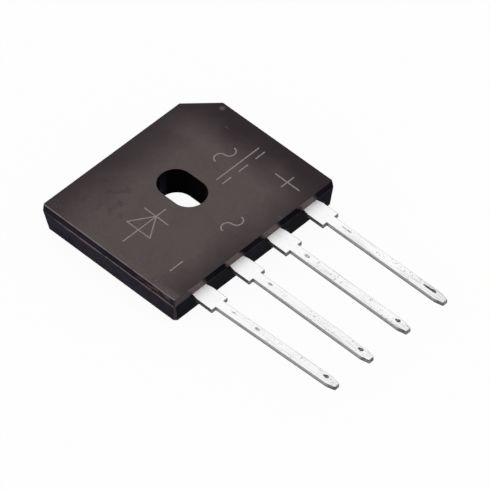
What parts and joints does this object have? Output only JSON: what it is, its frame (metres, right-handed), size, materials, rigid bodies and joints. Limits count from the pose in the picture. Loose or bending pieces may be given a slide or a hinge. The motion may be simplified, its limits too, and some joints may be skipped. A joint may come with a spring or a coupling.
{
  "type": "bridge rectifier",
  "caption": "Single-phase bridge rectifier in a flat moulded package with a screw slot, a bevelled corner and flat leads in one row.",
  "frame": {"origin": "centre of the screw slot on the back (heat-sink) face", "axes": "+Z out of the marked face, leads along -Y, minus lead at -X and plus lead with the bevelled corner at +X"},
  "size_m": [0.022, 0.0366, 0.0034],
  "materials": {
    "compound": "satin black moulding compound",
    "tinned_lead": "bright tin plating over copper",
    "silicon": "polished silicon chip",
    "solder": "dull reflowed solder",
    "copper": "satin rolled copper"
  },
  "bodies": {
    "root": {"body": "compound", "lead_minus": "tinned_lead", "lead_ac_1": "tinned_lead", "lead_ac_2": "tinned_lead", "lead_plus": "tinned_lead", "die_1": "silicon", "die_2": "silicon", "die_3": "silicon", "die_4": "silicon", "die_solder_1": "solder", "die_solder_2": "solder", "die_solder_3": "solder", "die_solder_4": "solder", "top_solder_1": "solder", "top_solder_2": "solder", "top_solder_3": "solder", "top_solder_4": "solder", "clip_minus": "copper", "clip_ac_1": "copper", "clip_ac_2": "copper", "foot_solder_minus": "solder", "foot_solder_ac_1": "solder", "foot_solder_ac_2": "solder"}
  },
  "joints": []
}
